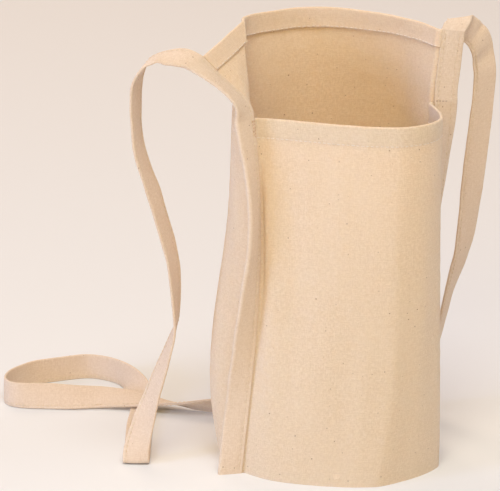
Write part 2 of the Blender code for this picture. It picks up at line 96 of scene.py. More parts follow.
# Thread
STITCH = 2.5             # from one needle hole to the next
THREAD = 0.5             # diameter
HEM_STITCH_RISE = 1.3    # from a hem's lower edge up to its stitches
BINDING_STITCH = 2.0     # from a binding's inner edge to its stitches
BINDING_ROWS = {"left": (BINDING_STITCH,), "right": (BINDING_STITCH, 9.0)}
CLOSING_STITCH = 0.76    # from the strap's middle to its stitches, as a share of half its width
TACK_STITCH = 1.6
STRAP_DENT = 0.18        # the closing stitches sink the strap's faces
STITCH_GAP = 0.2         # from a needle hole's middle to the stitch's end
STITCH_RINGS = 7
STITCH_SIDES = 8
HEM_THREAD_START = 4     # columns in from a panel's edges
STRAP_THREAD_START = 6   # sections in from the strap's ends

UP = np.array([0.0, 0.0, 1.0])

# The seams from the table to the rim: share of the height, x and y as shares of half the width, and the
# binding's heading in degrees, turned from outwards to the front at the left and to the back at the right.
SEAMS = {
    "left": [
        (0.00, -1.00, -0.02, -7),
        (0.14, -0.95, -0.05, -20),
        (0.33, -0.90, -0.08, 2),
        (0.50, -0.875, -0.11, 26),
        (0.72, -0.86, -0.11, 50),
        (0.88, -0.87, -0.08, 40),
        (1.00, -0.895, -0.04, 27),
    ],
    "right": [
        (0.00, 0.98, -0.02, 55),
        (0.30, 0.97, -0.02, 58),
        (0.60, 0.95, -0.03, 55),
        (0.80, 0.955, -0.04, 30),
        (1.00, 0.968, -0.04, -6),
    ],
}

# Above the rim the back panel's free edges lean: the edge's direction, the binding's half way up and at the
# top, and how much of the edge there is to each millimetre up the cloth.
EDGE_LEAN = {"left": (-0.57, 0.26, 0.78), "right": (0.10, 0.01, 0.99)}
MIDDLE_BINDING = {"left": (-0.31, -1.15, 0.03), "right": (0.97, -0.10, -0.06)}
CORNER_BINDING = {"left": (-0.65, -0.58, -0.49), "right": (0.94, -0.30, -0.13)}
EDGE_REACH = {"left": 0.92, "right": 0.87}
SLOW_START = 0.06        # share of the rise over which they start to lean

# Plan outlines between the seams, as shares of half the width and of the front's or the back's depth.
FRONT_BASE = [(-0.81, 0.39), (-0.60, 0.62), (-0.38, 0.82), (-0.12, 0.96), (0.16, 1.00), (0.43, 0.93),
              (0.67, 0.80), (0.88, 0.58), (0.965, 0.30)]
FRONT_RIM = [(-0.80, 0.09), (-0.65, 0.22), (-0.50, 0.37), (-0.12, 0.75), (0.16, 0.95), (0.45, 1.04),
             (0.67, 0.96), (0.82, 0.76), (0.895, 0.40)]
BACK_BASE = [(-1.06, 0.20), (-1.09, 0.38), (-1.05, 0.58), (-0.93, 0.77), (-0.73, 0.90), (-0.42, 0.98),
             (-0.10, 1.00), (0.26, 0.99), (0.58, 0.90), (0.82, 0.66), (0.92, 0.34)]
BACK_BELLY = [(-1.08, 0.20), (-1.15, 0.42), (-1.14, 0.64), (-1.00, 0.86), (-0.76, 0.98), (-0.42, 1.04),
              (-0.10, 1.06), (0.26, 1.05), (0.58, 0.96), (0.83, 0.70), (0.92, 0.35)]
BACK_RIM = [(-0.86, 0.11), (-0.895, 0.28), (-0.92, 0.48), (-0.90, 0.72), (-0.80, 0.93), (-0.50, 1.10),
            (-0.15, 1.14), (0.22, 1.12), (0.55, 0.98), (0.79, 0.68), (0.89, 0.32)]
BACK_TOP = [(-0.765, 0.84), (-0.755, 0.90), (-0.74, 0.96), (-0.71, 1.02), (-0.62, 1.12), (-0.42, 1.22),
            (-0.10, 1.24), (0.25, 1.12), (0.55, 0.88), (0.80, 0.56), (0.96, 0.24)]
BELLY_HEIGHT = 30.0
BELLY_END = 120.0        # where the back is half way between its belly and its rim

# How far the back's top edge drops below its full height at each of those points, and how far each of them
# rises straight from the rim: wholly beside the crease, not at all further on.
TOP_DROP = [0.4, 0.3, 0.2, 0.2, 0.3, 0.5, 0.0, 0.3, 1.8, 3.5, 5.0]
STRAIGHT_RISE = [1.0, 1.0, 0.8, 0.4, 0.0, 0.0, 0.0, 0.0, 0.0, 0.0, 0.0]

# Above the rim the back panel is creased: a flat wing stands between its left edge and the crease.
CREASE_TOP = (-0.77, 0.80, 0.4)      # shares of half the width and of the back's depth, and the drop
CREASE_START = 5.0                   # from the seam to the crease, up to the rim
FRONT_CREASE = 82.5                  # from the front's left edge to its upright crease, along the cloth

# The panels' soft waves, from broad to fine: height, squeeze upwards, seed, length and spread of headings.
WAVES = {
    "front": [(0.75, 0.5, 11, 62, 1.1), (0.28, 0.35, 12, 24, 1.0), (0.07, 1.0, 13, 9, math.pi)],
    "back": [(0.9, 0.5, 21, 58, 1.2), (0.32, 0.4, 22, 26, 1.2), (0.08, 1.0, 23, 9, math.pi)],
}
CALM_SIDES = {"front": (14, 22), "back": (12, 20)}    # margin without waves, and distance to grow over

# Rows of the corner tacks, each from one height and distance from the binding's inner edge to another.
TACKS = {
    "left": [((FRONT_HEIGHT - 0.5, 0.5), (FRONT_HEIGHT - 10.0, 0.5)),
             ((FRONT_HEIGHT - 0.5, 1.5), (FRONT_HEIGHT - 9.0, 1.5))],
    "right": [((FRONT_HEIGHT + 0.8, 0.4), (FRONT_HEIGHT + 0.3, 7.0))],
}

# The base's section, from its underside to its floor: height, and distance in from the panels.
BASE_SECTION = [(0.0, 0.0), (BASE_LIP - 0.3, 0.0), (BASE_LIP, 0.3), (BASE_LIP - 0.3, BASE_CLOTH),
                (BASE_CLOTH + 0.6, BASE_CLOTH), (BASE_CLOTH, BASE_CLOTH + 0.8)]

# Distances from a binding's inner edge at which its flat faces have points.
BINDING_STEPS = [0.0, 0.15, 0.5, 1.0, 1.5, 2.0, 2.5, 3.0, 3.6, 5.0, 6.5, 8.0, 9.0, 9.6, 10.2]

# The same for the strap's faces, from its middle, as shares of half its width.
STRAP_STEPS = [-1.0, -0.965, -0.90, -0.82, -0.76, -0.70, -0.62, -0.45, -0.2, 0.1, 0.4, 0.65, 0.82, 0.92]

# The free strap's route: points along its middle, and the direction from its inner edge to its outer one.
STRAP_ROUTE = [
    ((-82, 7.6, 223.4), (-0.46, -0.74, -0.48)),
    ((-95.5, 13.2, 222.6), (-0.36, -0.93, -0.02)),
    ((-103, 18.8, 208), (-0.64, -0.76, 0.07)),
    ((-101.5, 22, 179), (-0.61, -0.79, -0.08)),
    ((-91, 22, 143), (-0.67, -0.72, -0.16)),
    ((-81.8, 23, 105), (-0.65, -0.75, -0.12)),
    ((-80, 25, 76.5), (-0.42, -0.9, -0.02)),
    ((-82.8, 26, 67), (-0.2, -0.97, -0.06)),
    ((-91, 30, 40), (0.16, -0.97, -0.15)),
    ((-99, 31.2, 14), (0.66, -0.74, -0.09)),
    ((-101.8, 28.6, 5.2), (0.86, -0.5, 0)),
    ((-101.8, 28.2, 1.4), (0.92, -0.39, 0)),
    ((-100, 33, 0.9), (0.93, -0.36, 0)),
    ((-81, 86, 0.9), (0.93, -0.36, 0)),
    ((-68.5, 119, 1.7), (0.93, -0.34, 0.14)),
    ((-66.5, 131, 4.4), (0.79, -0.25, 0.56)),
    ((-70, 157, 7.1), (0.02, 0.03, 1)),
    ((-86, 174, 7.1), (0, 0, 1)),
    ((-112, 172.5, 7.1), (0, 0, 1)),
    ((-136, 155.5, 7.1), (0, 0, 1)),
    ((-139, 145.5, 7.1), (0, 0, 1)),
    ((-134.5, 137.5, 7.2), (0.04, 0.08, 1)),
    ((-121, 132.5, 7), (0.12, 0.3, 0.95)),
    ((-106, 127.8, 5.9), (0.24, 0.6, 0.76)),
    ((-92.5, 125, 5.4), (0.29, 0.74, 0.61)),
    ((-80, 119.5, 5.3), (0.33, 0.85, 0.42)),
    ((-68.5, 112, 5), (0.35, 0.93, 0.12)),
    ((-57, 103, 4.7), (0.34, 0.89, -0.29)),
    ((-48, 96, 5), (0.31, 0.79, -0.53)),
    ((-36, 89, 5.8), (0.25, 0.64, -0.73)),
    ((-14, 82.5, 3.8), (0.33, 0.85, -0.4)),
    ((8, 76, 1), (0.36, 0.93, 0)),
    ((50, 64, 2.4), (0.36, 0.93, 0)),
    ((64.5, 57.5, 9.5), (0.38, 0.93, 0)),
    ((72.5, 51.5, 24), (0.45, 0.89, 0)),
    ((78, 38.5, 70), (0.63, 0.77, -0.08)),
    ((82.5, 27, 105), (0.87, 0.48, -0.05)),
    ((83.6, 16, 154), (0.98, 0.17, -0.02)),
    ((84.9, 9, 197), (0.97, 0.24, 0.08)),
    ((83.4, 6.8, 210.5), (0.87, 0.2, 0.4)),
    ((78.8, 4.9, 221.9), (0.66, 0.11, 0.74)),
    ((71.7, 3.8, 227.6), (0.66, 0.11, 0.74)),
    ((66.2, 1.4, 232), (0.94, -0.1, 0.22)),
    ((65.1, -1.2, 233.8), (0.95, -0.25, 0.1)),
    ((64, -2.8, 232.4), (0.95, -0.27, 0.02)),
]

PUCKER_NEAR = (-92.5, 12.0, 223.0)    # the strap is puckered where it passes nearest to this point
HOLLOW_AT = 40.0                      # and dented here, measured back from its end at the right corner
CREASED_AT = 25.0

# Colour, millimetres from one yarn to the next, and share of the light that wanders inside the cloth.
CLOTH_LOOK = ((0.83, 0.668, 0.515), 0.48, 0.5)
TAPE_LOOK = ((0.80, 0.665, 0.54), 0.50, 0.1)
WEFT_DENSITY = 0.93      # as a share of the warp's
HEM_THREAD = (0.90, 0.77, 0.67)
TAPE_THREAD = (0.80, 0.66, 0.50)
# The tacks are real stitches; their dark brown is also painted shade along the tape's edge at the front's
# corners
TACK_THREAD_AND_SHADE = {"left": (0.66, 0.45, 0.31), "right": (0.50, 0.38, 0.29)}

# Tints that a colour is multiplied by; the ones for between the yarns and for the thread's twist are
# painted shade in their hollows
DARKER = (0.90, 0.865, 0.82)
LIGHTER = (1.055, 1.06, 1.075)
SHADE_BETWEEN_YARNS = (0.80, 0.72, 0.62)
THREAD_SHADE = (0.86, 0.86, 0.86)

# Flecks, depth of the light in the cloth, and reliefs in its shading, in metres
FLECK = (0.30, 0.17, 0.09)
FLECK_CELLS = 190.0      # to the metre; some of them hold a fleck
THROUGH_TINT = (1.0, 0.8, 0.62)
THROUGH_DEPTH = 0.0016
WEAVE_RELIEF = 0.00022
TWIST_RELIEF = 0.0001
TWIST_LENGTH = 0.7       # of thread, in millimetres

# Floor and light
FLOOR = (0.80, 0.83, 0.87)
FLOOR_RADIUS = 8.0       # in metres
ROOM_LIGHT = (1.0, 0.70, 0.50)
ROOM_STRENGTH = 0.45
LAMP_DISTANCE = 2.3
LAMP_TARGET = (0.0, 0.0, 0.11)

# Name, degrees to the left of the front and above the table, width in metres, power in watts, and colour.
LAMPS = [
    ("high", 15, 65, 1.3, 26.0, (0.97, 1.0, 1.0)),
    ("front", 30, 30, 1.3, 12.6, (1.0, 0.78, 0.30)),
    ("side", 82, 12, 0.7, 21.5, (0.42, 0.60, 1.0)),
    ("back", 180, 45, 1.3, 13.0, (1.0, 0.78, 0.58)),
    ("right", -60, 35, 1.3, 4.0, (0.35, 0.70, 1.0)),
]

# Camera
LENS = 272.62            # in millimetres, on a sensor 36 mm wide
CAMERA_PLACE = (-0.6737, -1.7551, 0.680)    # in metres
CAMERA_DOWN = 16.648     # degrees, from level and from the back (+Y)
CAMERA_RIGHT = 19.612


# Curves

def unit(v):
    """Vectors of length 1 in the same directions."""
    v = np.asarray(v, float)
    return v / np.linalg.norm(v, axis=-1, keepdims=True)


def spline(knots, values, at):
    """Natural cubic spline through the values, read at the given places."""
    knots = np.asarray(knots, float)
    values = np.asarray(values, float)
    at = np.atleast_1d(np.asarray(at, float))
    shape = values.shape[1:]
    flat = values.reshape(len(knots), -1)
    step = np.diff(knots)
    matrix = np.eye(len(knots))
    right = np.zeros_like(flat)
    for i in range(1, len(knots) - 1):
        matrix[i, i - 1:i + 2] = step[i - 1], 2 * (step[i - 1] + step[i]), step[i]
        right[i] = 6 * ((flat[i + 1] - flat[i]) / step[i] - (flat[i] - flat[i - 1]) / step[i - 1])
    bend = np.linalg.solve(matrix, right)
    k = np.clip(np.searchsorted(knots, at, side="right") - 1, 0, len(knots) - 2)
    a = ((knots[k + 1] - at) / step[k])[:, None]
    b = 1 - a
    smooth = ((a ** 3 - a) * bend[k] + (b ** 3 - b) * bend[k + 1]) * step[k][:, None] ** 2 / 6
    return (a * flat[k] + b * flat[k + 1] + smooth).reshape(len(at), *shape)


def steady(knots, values, at):
    """Cubic curve through the values that never swings past them."""
    step = np.diff(knots)[:, None]
    slope = np.diff(values, axis=0) / step
    same_way = slope[1:] * slope[:-1] > 0
    before = np.where(same_way, slope[:-1], 1.0)
    after = np.where(same_way, slope[1:], 1.0)
    near = 2 * step[1:] + step[:-1]
    far = step[1:] + 2 * step[:-1]
    between = np.where(same_way, (near + far) / (near / before + far / after), 0.0)
    rate = np.concatenate([slope[:1], between, slope[-1:]])
    k = np.clip(np.searchsorted(knots, at, side="right") - 1, 0, len(knots) - 2)
    t = (at - knots[k])[:, None] / step[k]
    start = (1 + 2 * t) * (1 - t) ** 2 * values[k] + t * (1 - t) ** 2 * step[k] * rate[k]
    return start + t ** 2 * (3 - 2 * t) * values[k + 1] + t ** 2 * (t - 1) * step[k] * rate[k + 1]


def along(points):
    """Distance along a line of points."""
    steps = np.linalg.norm(np.diff(points, axis=0), axis=1)
    return np.concatenate([[0.0], np.cumsum(steps)])


def resampled(line, count):
    """The same line with its points at even steps."""
    length = along(line)
    targets = np.linspace(0, length[-1], count)
    return np.stack([np.interp(targets, length, line[:, i]) for i in range(line.shape[1])], 1)


def evenly(points, count):
    """A smooth curve through the points, read at even steps."""
    points = np.asarray(points, float)
    knots = along(points)
    return resampled(spline(knots, points, np.linspace(0, knots[-1], CURVE_SAMPLES)), count)


def ease(x):
    """Smooth step from 0 to 1."""
    x = np.clip(x, 0.0, 1.0)
    return x * x * (3 - 2 * x)


def bump(distance, width):
    """1 at no distance, falling off smoothly over the width."""
    return np.exp(-(distance / width) ** 2)


def rumple(u, v, seed, wave, spread=math.pi):
    """Soft random waves of about unit height. A small spread keeps their crests upright."""
    random = np.random.RandomState(seed)
    total = 0.0
    waves = 7
    for _ in range(waves):
        angle = random.uniform(-spread, spread) / 2
        turns = 2 * math.pi / (wave * random.uniform(0.65, 1.5))
        phase = random.uniform(0, 2 * math.pi)
        total = total + np.sin(turns * (u * math.cos(angle) + v * math.sin(angle)) + phase)
    return total / (waves / 2)


# Seams

def turned(side, degrees):
    """The binding's plan direction: outwards, turned to the front at the left, to the back at the right."""
    angle = math.radians(degrees)
    outwards = -1.0 if side == "left" else 1.0
    return outwards * np.array([math.cos(angle), math.sin(angle), 0.0])


def share_above(height):
    """How far a height is from the front's rim to the back's full height, from 0 to 1."""
    return max(0.0, height - FRONT_HEIGHT) / (BACK_HEIGHT - FRONT_HEIGHT)


@functools.lru_cache(maxsize=None)
def seam(side, height):
    """At a height up the cloth: the seam's point, the binding's way out and its way to the front face."""
    share = [s[0] for s in SEAMS[side]]
    plan = [(s[1] * HALF_WIDTH, s[2] * HALF_WIDTH, s[3]) for s in SEAMS[side]]
    x, y, degrees = spline(share, plan, min(height / FRONT_HEIGHT, 1.0))[0]
    point = np.array([x, y, min(height, FRONT_HEIGHT)])
    out = turned(side, degrees)
    axis = UP
    above = share_above(height)
    above = (above - SLOW_START * (1 - math.exp(-above / SLOW_START))) / (1 - SLOW_START)
    if above > 0:
        middle, corner = np.array(MIDDLE_BINDING[side]), np.array(CORNER_BINDING[side])
        swing = 1 - (1 - above) ** 3
        axis = unit(unit(EDGE_LEAN[side]) * swing + UP * (1 - swing))
        point = point + axis * (height - FRONT_HEIGHT) * EDGE_REACH[side]
        out = out * (1 - above) ** 2 + middle * 2 * above * (1 - above) + corner * above ** 2
        out = unit(out - axis * (out @ axis))
    front = np.cross(axis, out) if side == "left" else np.cross(out, axis)
    return point, out, front


def single_layer(height):
    """From 0 where the binding holds both panels to 1 where it holds the back one only."""
    return min(1.0, max(0.0, height - FRONT_HEIGHT) / BINDING_WIDTH)


def layer_offset(height):
    """From the middle of the binding to the middle of a panel's cloth."""
    return (CLOTH + CLEARANCE) / 2 * (1 - single_layer(height))


# Panels

def outline(which, height):
    """Points of a panel's plan outline between the seams, at a height up the cloth."""
    if which == "front":
        share = min(height / FRONT_HEIGHT, 1.0)
        mix = np.array(FRONT_BASE) * (1 - share) + np.array(FRONT_RIM) * share
        depth = -FRONT_DEPTH
        level = np.full(len(mix), height)
    else:
        belly, rim = np.array(BACK_BELLY), np.array(BACK_RIM)
        knots = [0.0, BELLY_HEIGHT, BELLY_END, FRONT_HEIGHT, BACK_HEIGHT]
        mix = spline(knots, np.array([BACK_BASE, belly, (belly + rim) / 2, rim, BACK_TOP]), height)[0]
        if height > FRONT_HEIGHT:
            straight = rim + (np.array(BACK_TOP) - rim) * share_above(height)
            mix = mix + (straight - mix) * np.array(STRAIGHT_RISE)[:, None]
        depth = BACK_DEPTH
        level = height - np.array(TOP_DROP) * share_above(height)
    return np.stack([mix[:, 0] * HALF_WIDTH, mix[:, 1] * depth, level], 1)


def turn(root, out, face, target, offset):
    """The cloth's arc as it leaves the binding: from heading inwards to heading for the panel."""
    start = root + face * offset
    heading = target - start
    angle = math.atan2(heading @ face, -heading @ out)
    angle = min(max(angle, math.radians(LEAST_TURN)), math.radians(MOST_TURN))
    way = math.copysign(1.0, angle)
    points = []
    for i in range(TURN_STEPS + 1):
        a = abs(angle) * i / TURN_STEPS + TURN_SPREAD * i
        sideways = face * way * TURN_RADIUS * (1 - math.cos(a))
        points.append(start - out * TURN_RADIUS * math.sin(a) + sideways)
    return points


def crease_at(height, columns, wing):
    """Where the back's crease is, at a height above the rim."""
    across, back, drop = CREASE_TOP
    top = np.array([across * HALF_WIDTH, back * BACK_DEPTH, BACK_HEIGHT - drop])
    rim = panel_row("back", FRONT_HEIGHT, columns, wing)[HELD_COLUMNS + TURN_STEPS + wing - 1]
    return rim + (top - rim) * share_above(height)


def creased(start, points, end, crease, columns, wing):
    """The back's curve between its seams: the wing as far as the crease, then the wall."""
    if crease is not None:
        flat = np.linspace(start, crease, wing)
        return np.concatenate([flat, evenly([crease] + points + [end], columns - wing + 1)[1:]])
    curve = evenly([start] + points + [end], CURVE_SAMPLES)
    split = int(np.searchsorted(along(curve), CREASE_START))
    near, far = curve[:split + 1], curve[split:]
    return np.concatenate([resampled(near, wing), resampled(far, columns - wing + 1)[1:]])


def panel_row(which, height, columns=PANEL_COLUMNS, wing=WING_COLUMNS):
    """Middle of the cloth at one height: out of the left binding, along the panel, into the right one."""
    points = list(outline(which, height))
    offset = layer_offset(height)
    crease = None
    if which == "back" and height > FRONT_HEIGHT:
        crease = crease_at(height, columns, wing)
    held, bends = [], []
    for side, target in (("left", points[0] if crease is None else crease), ("right", points[-1])):
        root, out, front = seam(side, height)
        face = front if which == "front" else -front
        inside = root + face * offset
        held.append([inside + out * SEAM_ALLOWANCE * share for share in (1.0, 0.5)])
        bends.append(turn(root, out, face, target, offset))
    if which == "back" and wing > 0:
        curve = creased(bends[0][-1], points, bends[1][-1], crease, columns, wing)
    else:
        curve = evenly([bends[0][-1]] + points + [bends[1][-1]], columns)
    row = held[0] + bends[0][:-1] + list(curve) + bends[1][:-1][::-1] + held[1][::-1]
    return np.array(row)


def inward(grid, which):
    """Unit normals into the pouch for a grid of points, rows going up."""
    normal = np.cross(np.gradient(grid, axis=1), np.gradient(grid, axis=0))
    return unit(normal) * (-1.0 if which == "front" else 1.0)


def clear_of_sides(u, width, margin, over):
    """0 within a margin of a panel's side edges, 1 further in, changing over a distance."""
    return ease((u - margin) / over) * ease((width - margin - u) / over)


def relief(which, u, v, width):
    """How far a panel's cloth stands out of its smooth shape, in millimetres."""
    broad, folds, fine = (high * rumple(u, v * squeeze, seed, wave, spread)
                          for high, squeeze, seed, wave, spread in WAVES[which])
    fold = 0.0
    if which == "front":
        away = np.abs(u - FRONT_CREASE - 0.8 * np.sin(v / 31.0))
        fold = 1.3 * np.exp(-np.sqrt(away ** 2 + 1.2) / 9.0) * ease((FRONT_HEIGHT - 4 - v) / 40)
    free = clear_of_sides(u, width, *CALM_SIDES[which])
    return free * (fold + broad + folds) + clear_of_sides(u, width, 9, 8) * fine


# Meshes

def shown(name, data):
    """A new object in the scene."""
    obj = bpy.data.objects.new(name, data)
    bpy.context.scene.collection.objects.link(obj)
    return obj


class Skin:
    """Collects points with their place on the cloth, then makes one object of them."""

    def __init__(self):
        self.points = []
        self.places = []
        self.faces = []

    def add(self, points, places):
        """Adds points, and where each lies on the flat cloth, and returns their indices."""
        first = len(self.points)
        self.points += [tuple(float(c) * MM for c in p) for p in points]
        self.places += [(float(u) * MM, float(v) * MM, 0.0) for u, v in places]
        return list(range(first, first + len(points)))

    def bridge(self, one, other, closed=False):
        """Quads between two equal lines of indices."""
        count = len(one) if closed else len(one) - 1
        for i in range(count):
            j = (i + 1) % len(one)
            self.faces.append((one[i], one[j], other[j], other[i]))

    def strip(self, lines, closed=False):
        """Quads from each line to the next."""
        for one, other in zip(lines, lines[1:]):
            self.bridge(one, other, closed)

    def cap(self, indices):
        """One face."""
        self.faces.append(tuple(indices))

    def make(self, name, material):
        """The object that they form."""
        mesh = bpy.data.meshes.new(name)
        bm = bmesh.new()
        verts = [bm.verts.new(p) for p in self.points]
        for face in self.faces:
            bm.faces.new([verts[i] for i in face])
        bmesh.ops.recalc_face_normals(bm, faces=bm.faces)
        bm.to_mesh(mesh)
        bm.free()
        mesh.shade_smooth()
        mesh.set_sharp_from_angle(angle=math.radians(SHARP_ANGLE))
        mesh.materials.append(material)
        place = mesh.attributes.new("cloth", "FLOAT_VECTOR", "POINT")
        place.data.foreach_set("vector", np.array(self.places, np.float32).ravel())
        return shown(name, mesh)


def hem_line(which):
    """How high the hem's stitches run."""
    return FULL_HEIGHT[which] - HEM_DEPTH + HEM_STITCH_RISE


def panel_grid(which):
    """A panel's middle surface with its relief, its inward normals and each point's place on the cloth."""
    top = FULL_HEIGHT[which] - HEM_FOLD
    heights = np.linspace(0.0, top, round(top / ROW_STEP) + 1)
    grid = np.array([panel_row(which, h) for h in heights])
    normal = inward(grid, which)
    u = np.array([along(row) for row in grid])
    v = np.repeat(heights[:, None], grid.shape[1], axis=1)
    width = u[:, -1:]
    above = v - hem_line(which)
    pucker = 0.10 * bump(above, 1.6) * np.sin(math.pi * u / STITCH) - 0.22 * bump(above, 0.9)
    swell = 0.18 * ease(above / 2.0)
    stitched = (pucker + swell) * clear_of_sides(u, width, 8, 5)
    grid = grid - normal * (relief(which, u, v, width) + stitched)[..., None]
    normal = inward(grid, which)
    return heights, grid, normal, u, v


def panel(name, which, material):
    """One panel of cloth with its top edge turned in as a hem, and its rows for the thread."""
    hem_gap = CLOTH / 2 + HEM_SLACK
    hem_face = hem_gap + 2 * CLOTH
    fold_radius = (hem_face + CLOTH / 2) / 2
    fold_middle = hem_face - fold_radius
    heights, grid, normal, u, v = panel_grid(which)
    places = np.stack([u, v], -1)
    skin = Skin()
    outer, inner = ([skin.add(*row) for row in zip(grid + normal * CLOTH / 2 * way, places)]
                    for way in (-1, 1))
    skin.strip(outer)
    skin.strip(inner[::-1])
    skin.bridge(outer[0], inner[0])
    for end in (0, -1):
        skin.bridge([row[end] for row in outer], [row[end] for row in inner])

    part = slice(HEM_COLUMNS_LESS[which], grid.shape[1] - HEM_COLUMNS_LESS[which])
    skin.bridge(outer[-1][:part.start + 1], inner[-1][:part.start + 1])
    skin.bridge(outer[-1][part.stop - 1:], inner[-1][part.stop - 1:])

    def lay(k, shift, up=0.0):
        """A line of the hem, shifted from one of the panel's rows."""
        return skin.add((grid[k] + shift)[part], places[k][part] + (0.0, up))

    hem_rows = [k for k, h in enumerate(heights) if h >= FULL_HEIGHT[which] - HEM_DEPTH]
    rise = unit(grid[-1] - grid[-2])
    lines = [outer[-1][part]]
    for a in np.radians(range(20, 180, 20)):
        shift = normal[-1] * (fold_middle - fold_radius * math.cos(a)) + rise * fold_radius * math.sin(a)
        lines.append(lay(-1, shift, fold_radius * a))
    arcs = len(lines)
    lines += [lay(k, normal[k] * hem_face) for k in reversed(hem_rows)]
    low = hem_rows[0]
    drop = unit(grid[low] - grid[low + 1])
    hem_middle, hem_round = (hem_gap + hem_face) / 2, (hem_face - hem_gap) / 2
    for a in np.radians([45, 90, 135]):
        shift = normal[low] * (hem_middle + hem_round * math.cos(a)) + drop * hem_round * math.sin(a)
        lines.append(lay(low, shift, -hem_round * a))
    lines += [lay(k, normal[k] * hem_gap) for k in hem_rows]
    lines.append(inner[-1][part])
    skin.strip(lines)
    count = len(hem_rows)
    face_up = lines[-count - 1:-1]
    face_down = lines[arcs:arcs + count][::-1]
    round_end = lines[arcs + count:-count - 1]
    for end in (0, -1):
        fold_end = [line[end] for line in lines[:arcs]]
        skin.cap(fold_end + [face_down[-1][end], face_up[-1][end], lines[-1][end]])
        for k in range(count - 1):
            skin.cap([face_up[k][end], face_up[k + 1][end], face_down[k + 1][end], face_down[k][end]])
        skin.cap([face_down[0][end]] + [line[end] for line in round_end] + [face_up[0][end]])
    return skin.make(name, material), grid, normal, heights, hem_face


# Base

def base_ring(height, inset):
    """The pouch's inside outline at a height, set in from the panels and cut across at the seams."""
    skip = HELD_COLUMNS + TURN_STEPS + BASE_COLUMNS_LESS
    inside = CLOTH / 2 + CLEARANCE + inset
    sides = []
    for which in ("front", "back"):
        grid = np.array([panel_row(which, h, BASE_COLUMNS, wing=0) for h in (height, height + PROBE)])
        row = (grid + inward(grid, which) * inside)[0][skip:-skip]
        row[:, 2] = height
        sides.append(row if which == "front" else row[::-1])
    corners = []
    for side, way in (("right", -1.0), ("left", 1.0)):
        root = seam(side, height)[0]
        corners.append(root[None] + np.array([way * (3 * TURN_RADIUS + inside), 0.0, 0.0]))
    return np.concatenate([sides[0], corners[0], sides[1], corners[1]])


def base(material):
    """The floor of the pouch: a shallow tray whose seam allowance is turned up inside the panels."""
    skin = Skin()
    loops = []
    for height, inset in BASE_SECTION:
        ring = base_ring(height, inset)
        loops.append(skin.add(ring, ring[:, :2]))
    skin.strip(loops, closed=True)
    for loop, height in ((loops[0], 0.0), (loops[-1], BASE_CLOTH)):
        rim = np.array([skin.points[i] for i in loop]) / MM
        middle = rim.mean(axis=0)
        previous = loop
        for share in (0.8, 0.6, 0.4, 0.2):
            ring = middle + (rim - middle) * share
            ring[:, 2] = height
            if height > 0:
                ring[:, 2] += 0.35 * (1 + rumple(ring[:, 0], ring[:, 1], 31, 30)) * (1 - share ** 4)
            current = skin.add(ring, ring[:, :2])
            skin.bridge(previous, current, closed=True)
            previous = current
        level = skin.points[previous[0]][2] / MM
        hub = skin.add([(middle[0], middle[1], level)], [(middle[0], middle[1])])[0]
        for i in range(len(previous)):
            skin.cap([previous[i], previous[(i + 1) % len(previous)], hub])
    return skin.make("pouch_base", material)


# Bindings

def binding_profile(height, run):
    """The folded tape's section as distances out from the seam and towards the front face."""
    both = (2 * CLOTH + 3 * CLEARANCE) / 2
    single = (CLOTH + 2 * CLEARANCE) / 2
    slot = both + (single - both) * single_layer(height)
    half = slot + TAPE
    width = BINDING_WIDTH + 0.22 * math.sin(run / 13.0) + 0.12 * math.sin(run / 4.1 + 1.0)
    bend = width - half
    steps = np.array(BINDING_STEPS)
    dent = 0.20 * bump(steps - BINDING_STITCH, 0.8)
    pucker = 0.07 * bump(steps - BINDING_STITCH, 2.0) * math.sin(math.pi * run / STITCH)
    swell = 0.10 * math.sin(run / 9.0) * bump(steps - 6.5, 3.0)
    face = half - dent + pucker + swell
    face[0] = slot + TAPE * 0.55
    arc = np.radians(np.linspace(80, -80, 9))
    ridge = [(bend + half * math.cos(a), half * math.sin(a)) for a in arc]
    core = [(bend + slot * math.cos(a), slot * math.sin(a)) for a in arc[::-1]]
    outside = list(zip(steps, face)) + ridge + list(zip(steps[::-1], -face[::-1]))
    inside = [(0.0, -slot), (4.0, -slot), (8.0, -slot)] + core + [(8.0, slot), (4.0, slot), (0.0, slot)]
    return outside, inside


def binding_run(side, height):
    """Distance along the tape from the table to a height."""
    low = min(height, FRONT_HEIGHT)
    return low + (height - low) * EDGE_REACH[side]


def binding_wave(side, run, offset):
    """How far the folded tape sways to the front or the back."""
    return 0.25 * rumple(run, 0.0, 41 if side == "left" else 42, 34) * ease((offset - 2.0) / 8.0)


def binding(name, side, material):
    """The tape folded round the panels' edges, from the table to the back panel's corner."""
    skin = Skin()
    loops = []
    for height in np.linspace(0.0, BACK_HEIGHT, round(BACK_HEIGHT) + 1):
        root, out, front = seam(side, height)
        run = binding_run(side, height)
        outside, inside = binding_profile(height, run)
        section = outside + inside
        girth = along(np.array(section))
        points = [root + out * o + front * (f + binding_wave(side, run, o)) for o, f in section]
        loops.append(skin.add(points, [(g, run) for g in girth]))
    skin.strip(loops, closed=True)
    outer_count = len(binding_profile(0.0, 0.0)[0])
    for loop in (loops[0], loops[-1]):
        outside, inside = loop[:outer_count], loop[outer_count:][::-1]
        fan(skin, outside, inside)
    return skin.make(name, material)


def fan(skin, many, few):
    """Fills the strip between two lines of different counts that start and end together."""
    i = j = 0
    while i < len(many) - 1 or j < len(few) - 1:
        ahead = (i + 1) * (len(few) - 1) <= (j + 1) * (len(many) - 1)
        if (ahead and i < len(many) - 1) or j >= len(few) - 1:
            skin.cap([many[i], many[i + 1], few[j]])
            i += 1
        else:
            skin.cap([many[i], few[j + 1], few[j]])
            j += 1


# Strap

def smoothed(values, times):
    """Rounds off a line of values and keeps its two ends."""
    values = values.copy()
    for _ in range(times):
        values[1:-1] = 0.25 * values[:-2] + 0.5 * values[1:-1] + 0.25 * values[2:]
    return values


